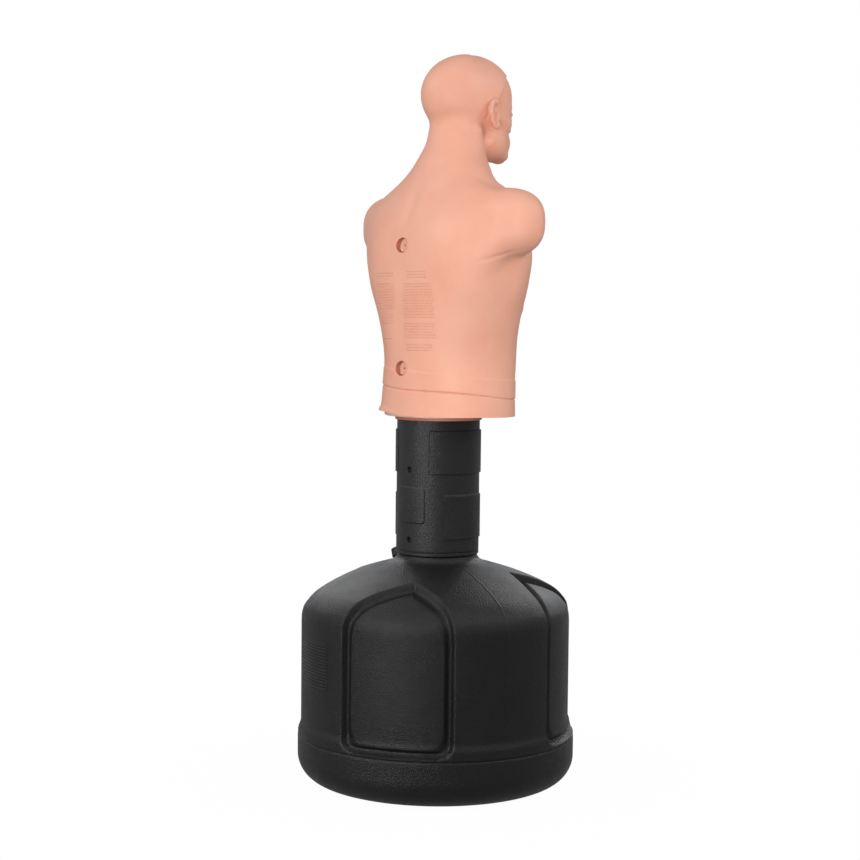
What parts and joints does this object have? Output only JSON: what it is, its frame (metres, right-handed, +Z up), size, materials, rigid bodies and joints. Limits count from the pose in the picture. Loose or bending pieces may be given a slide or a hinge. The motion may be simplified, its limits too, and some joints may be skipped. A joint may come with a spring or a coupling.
{
  "type": "body opponent mannequin",
  "caption": "Free-standing boxing mannequin: weighted round tank base, height-adjustable stem and a foam-filled vinyl torso with a head and no arms.",
  "frame": {"origin": "centre of the base's underside, on the floor", "axes": "+Z up; the figure faces -Y, so its right side is -X"},
  "size_m": [0.6098, 0.6098, 1.594],
  "materials": {
    "black_moulding": "fine leather-grained black polyethylene",
    "black_cap": "ribbed black polypropylene",
    "post_plastic": "smooth dark grey plastic tube",
    "vinyl_skin": "satin flesh-coloured vinyl",
    "foam": "pale cast urethane foam",
    "socket_plastic": "plain moulded liner",
    "sand": "dry sand",
    "rubber": "soft black rubber"
  },
  "bodies": {
    "base": {"base_shell": "black_moulding", "sand_fill": "sand", "post_tube": "post_plastic", "post_foot": "post_plastic", "post_cap": "post_plastic"},
    "gasket": {"fill_cap_gasket": "rubber"},
    "cap": {"fill_cap": "black_cap"},
    "stem": {"stem_tube": "black_moulding", "stem_bush": "black_moulding", "stem_cap": "black_moulding"},
    "peg_lower": {"height_peg_lower": "rubber"},
    "peg_upper": {"height_peg_upper": "rubber"},
    "torso": {"torso_skin": "vinyl_skin", "foam_core": "foam", "socket_tube": "socket_plastic", "socket_cap": "socket_plastic", "back_plug_upper": "vinyl_skin", "back_plug_lower": "vinyl_skin"}
  },
  "joints": [
    {"name": "height_slide", "type": "slide", "parent": "base", "child": "stem", "axis": [0, 0, 1], "range_m": [0, 0.4572]},
    {"name": "torso_lift", "type": "slide", "parent": "stem", "child": "torso", "axis": [0, 0, 1], "range_m": [0, 0.36]},
    {"name": "peg_lower_pull", "type": "slide", "parent": "stem", "child": "peg_lower", "axis": [-0.1132, 0.9936, 0], "range_m": [0, 0.03]},
    {"name": "peg_upper_pull", "type": "slide", "parent": "stem", "child": "peg_upper", "axis": [-0.1132, 0.9936, 0], "range_m": [0, 0.03]},
    {"name": "cap_lift", "type": "slide", "parent": "base", "child": "gasket", "axis": [0.3683, -0.0683, 0.9272], "range_m": [0, 0.016]},
    {"name": "cap_turn", "type": "hinge", "parent": "gasket", "child": "cap", "pos_m": [0.15535, -0.02879, 0.4737], "axis": [0.3683, -0.0683, 0.9272], "range_deg": [0, 720]}
  ],
  "couplings": [
    {"joint": "cap_lift", "follows": "cap_turn", "m_per_rad": 0.0012653}
  ]
}
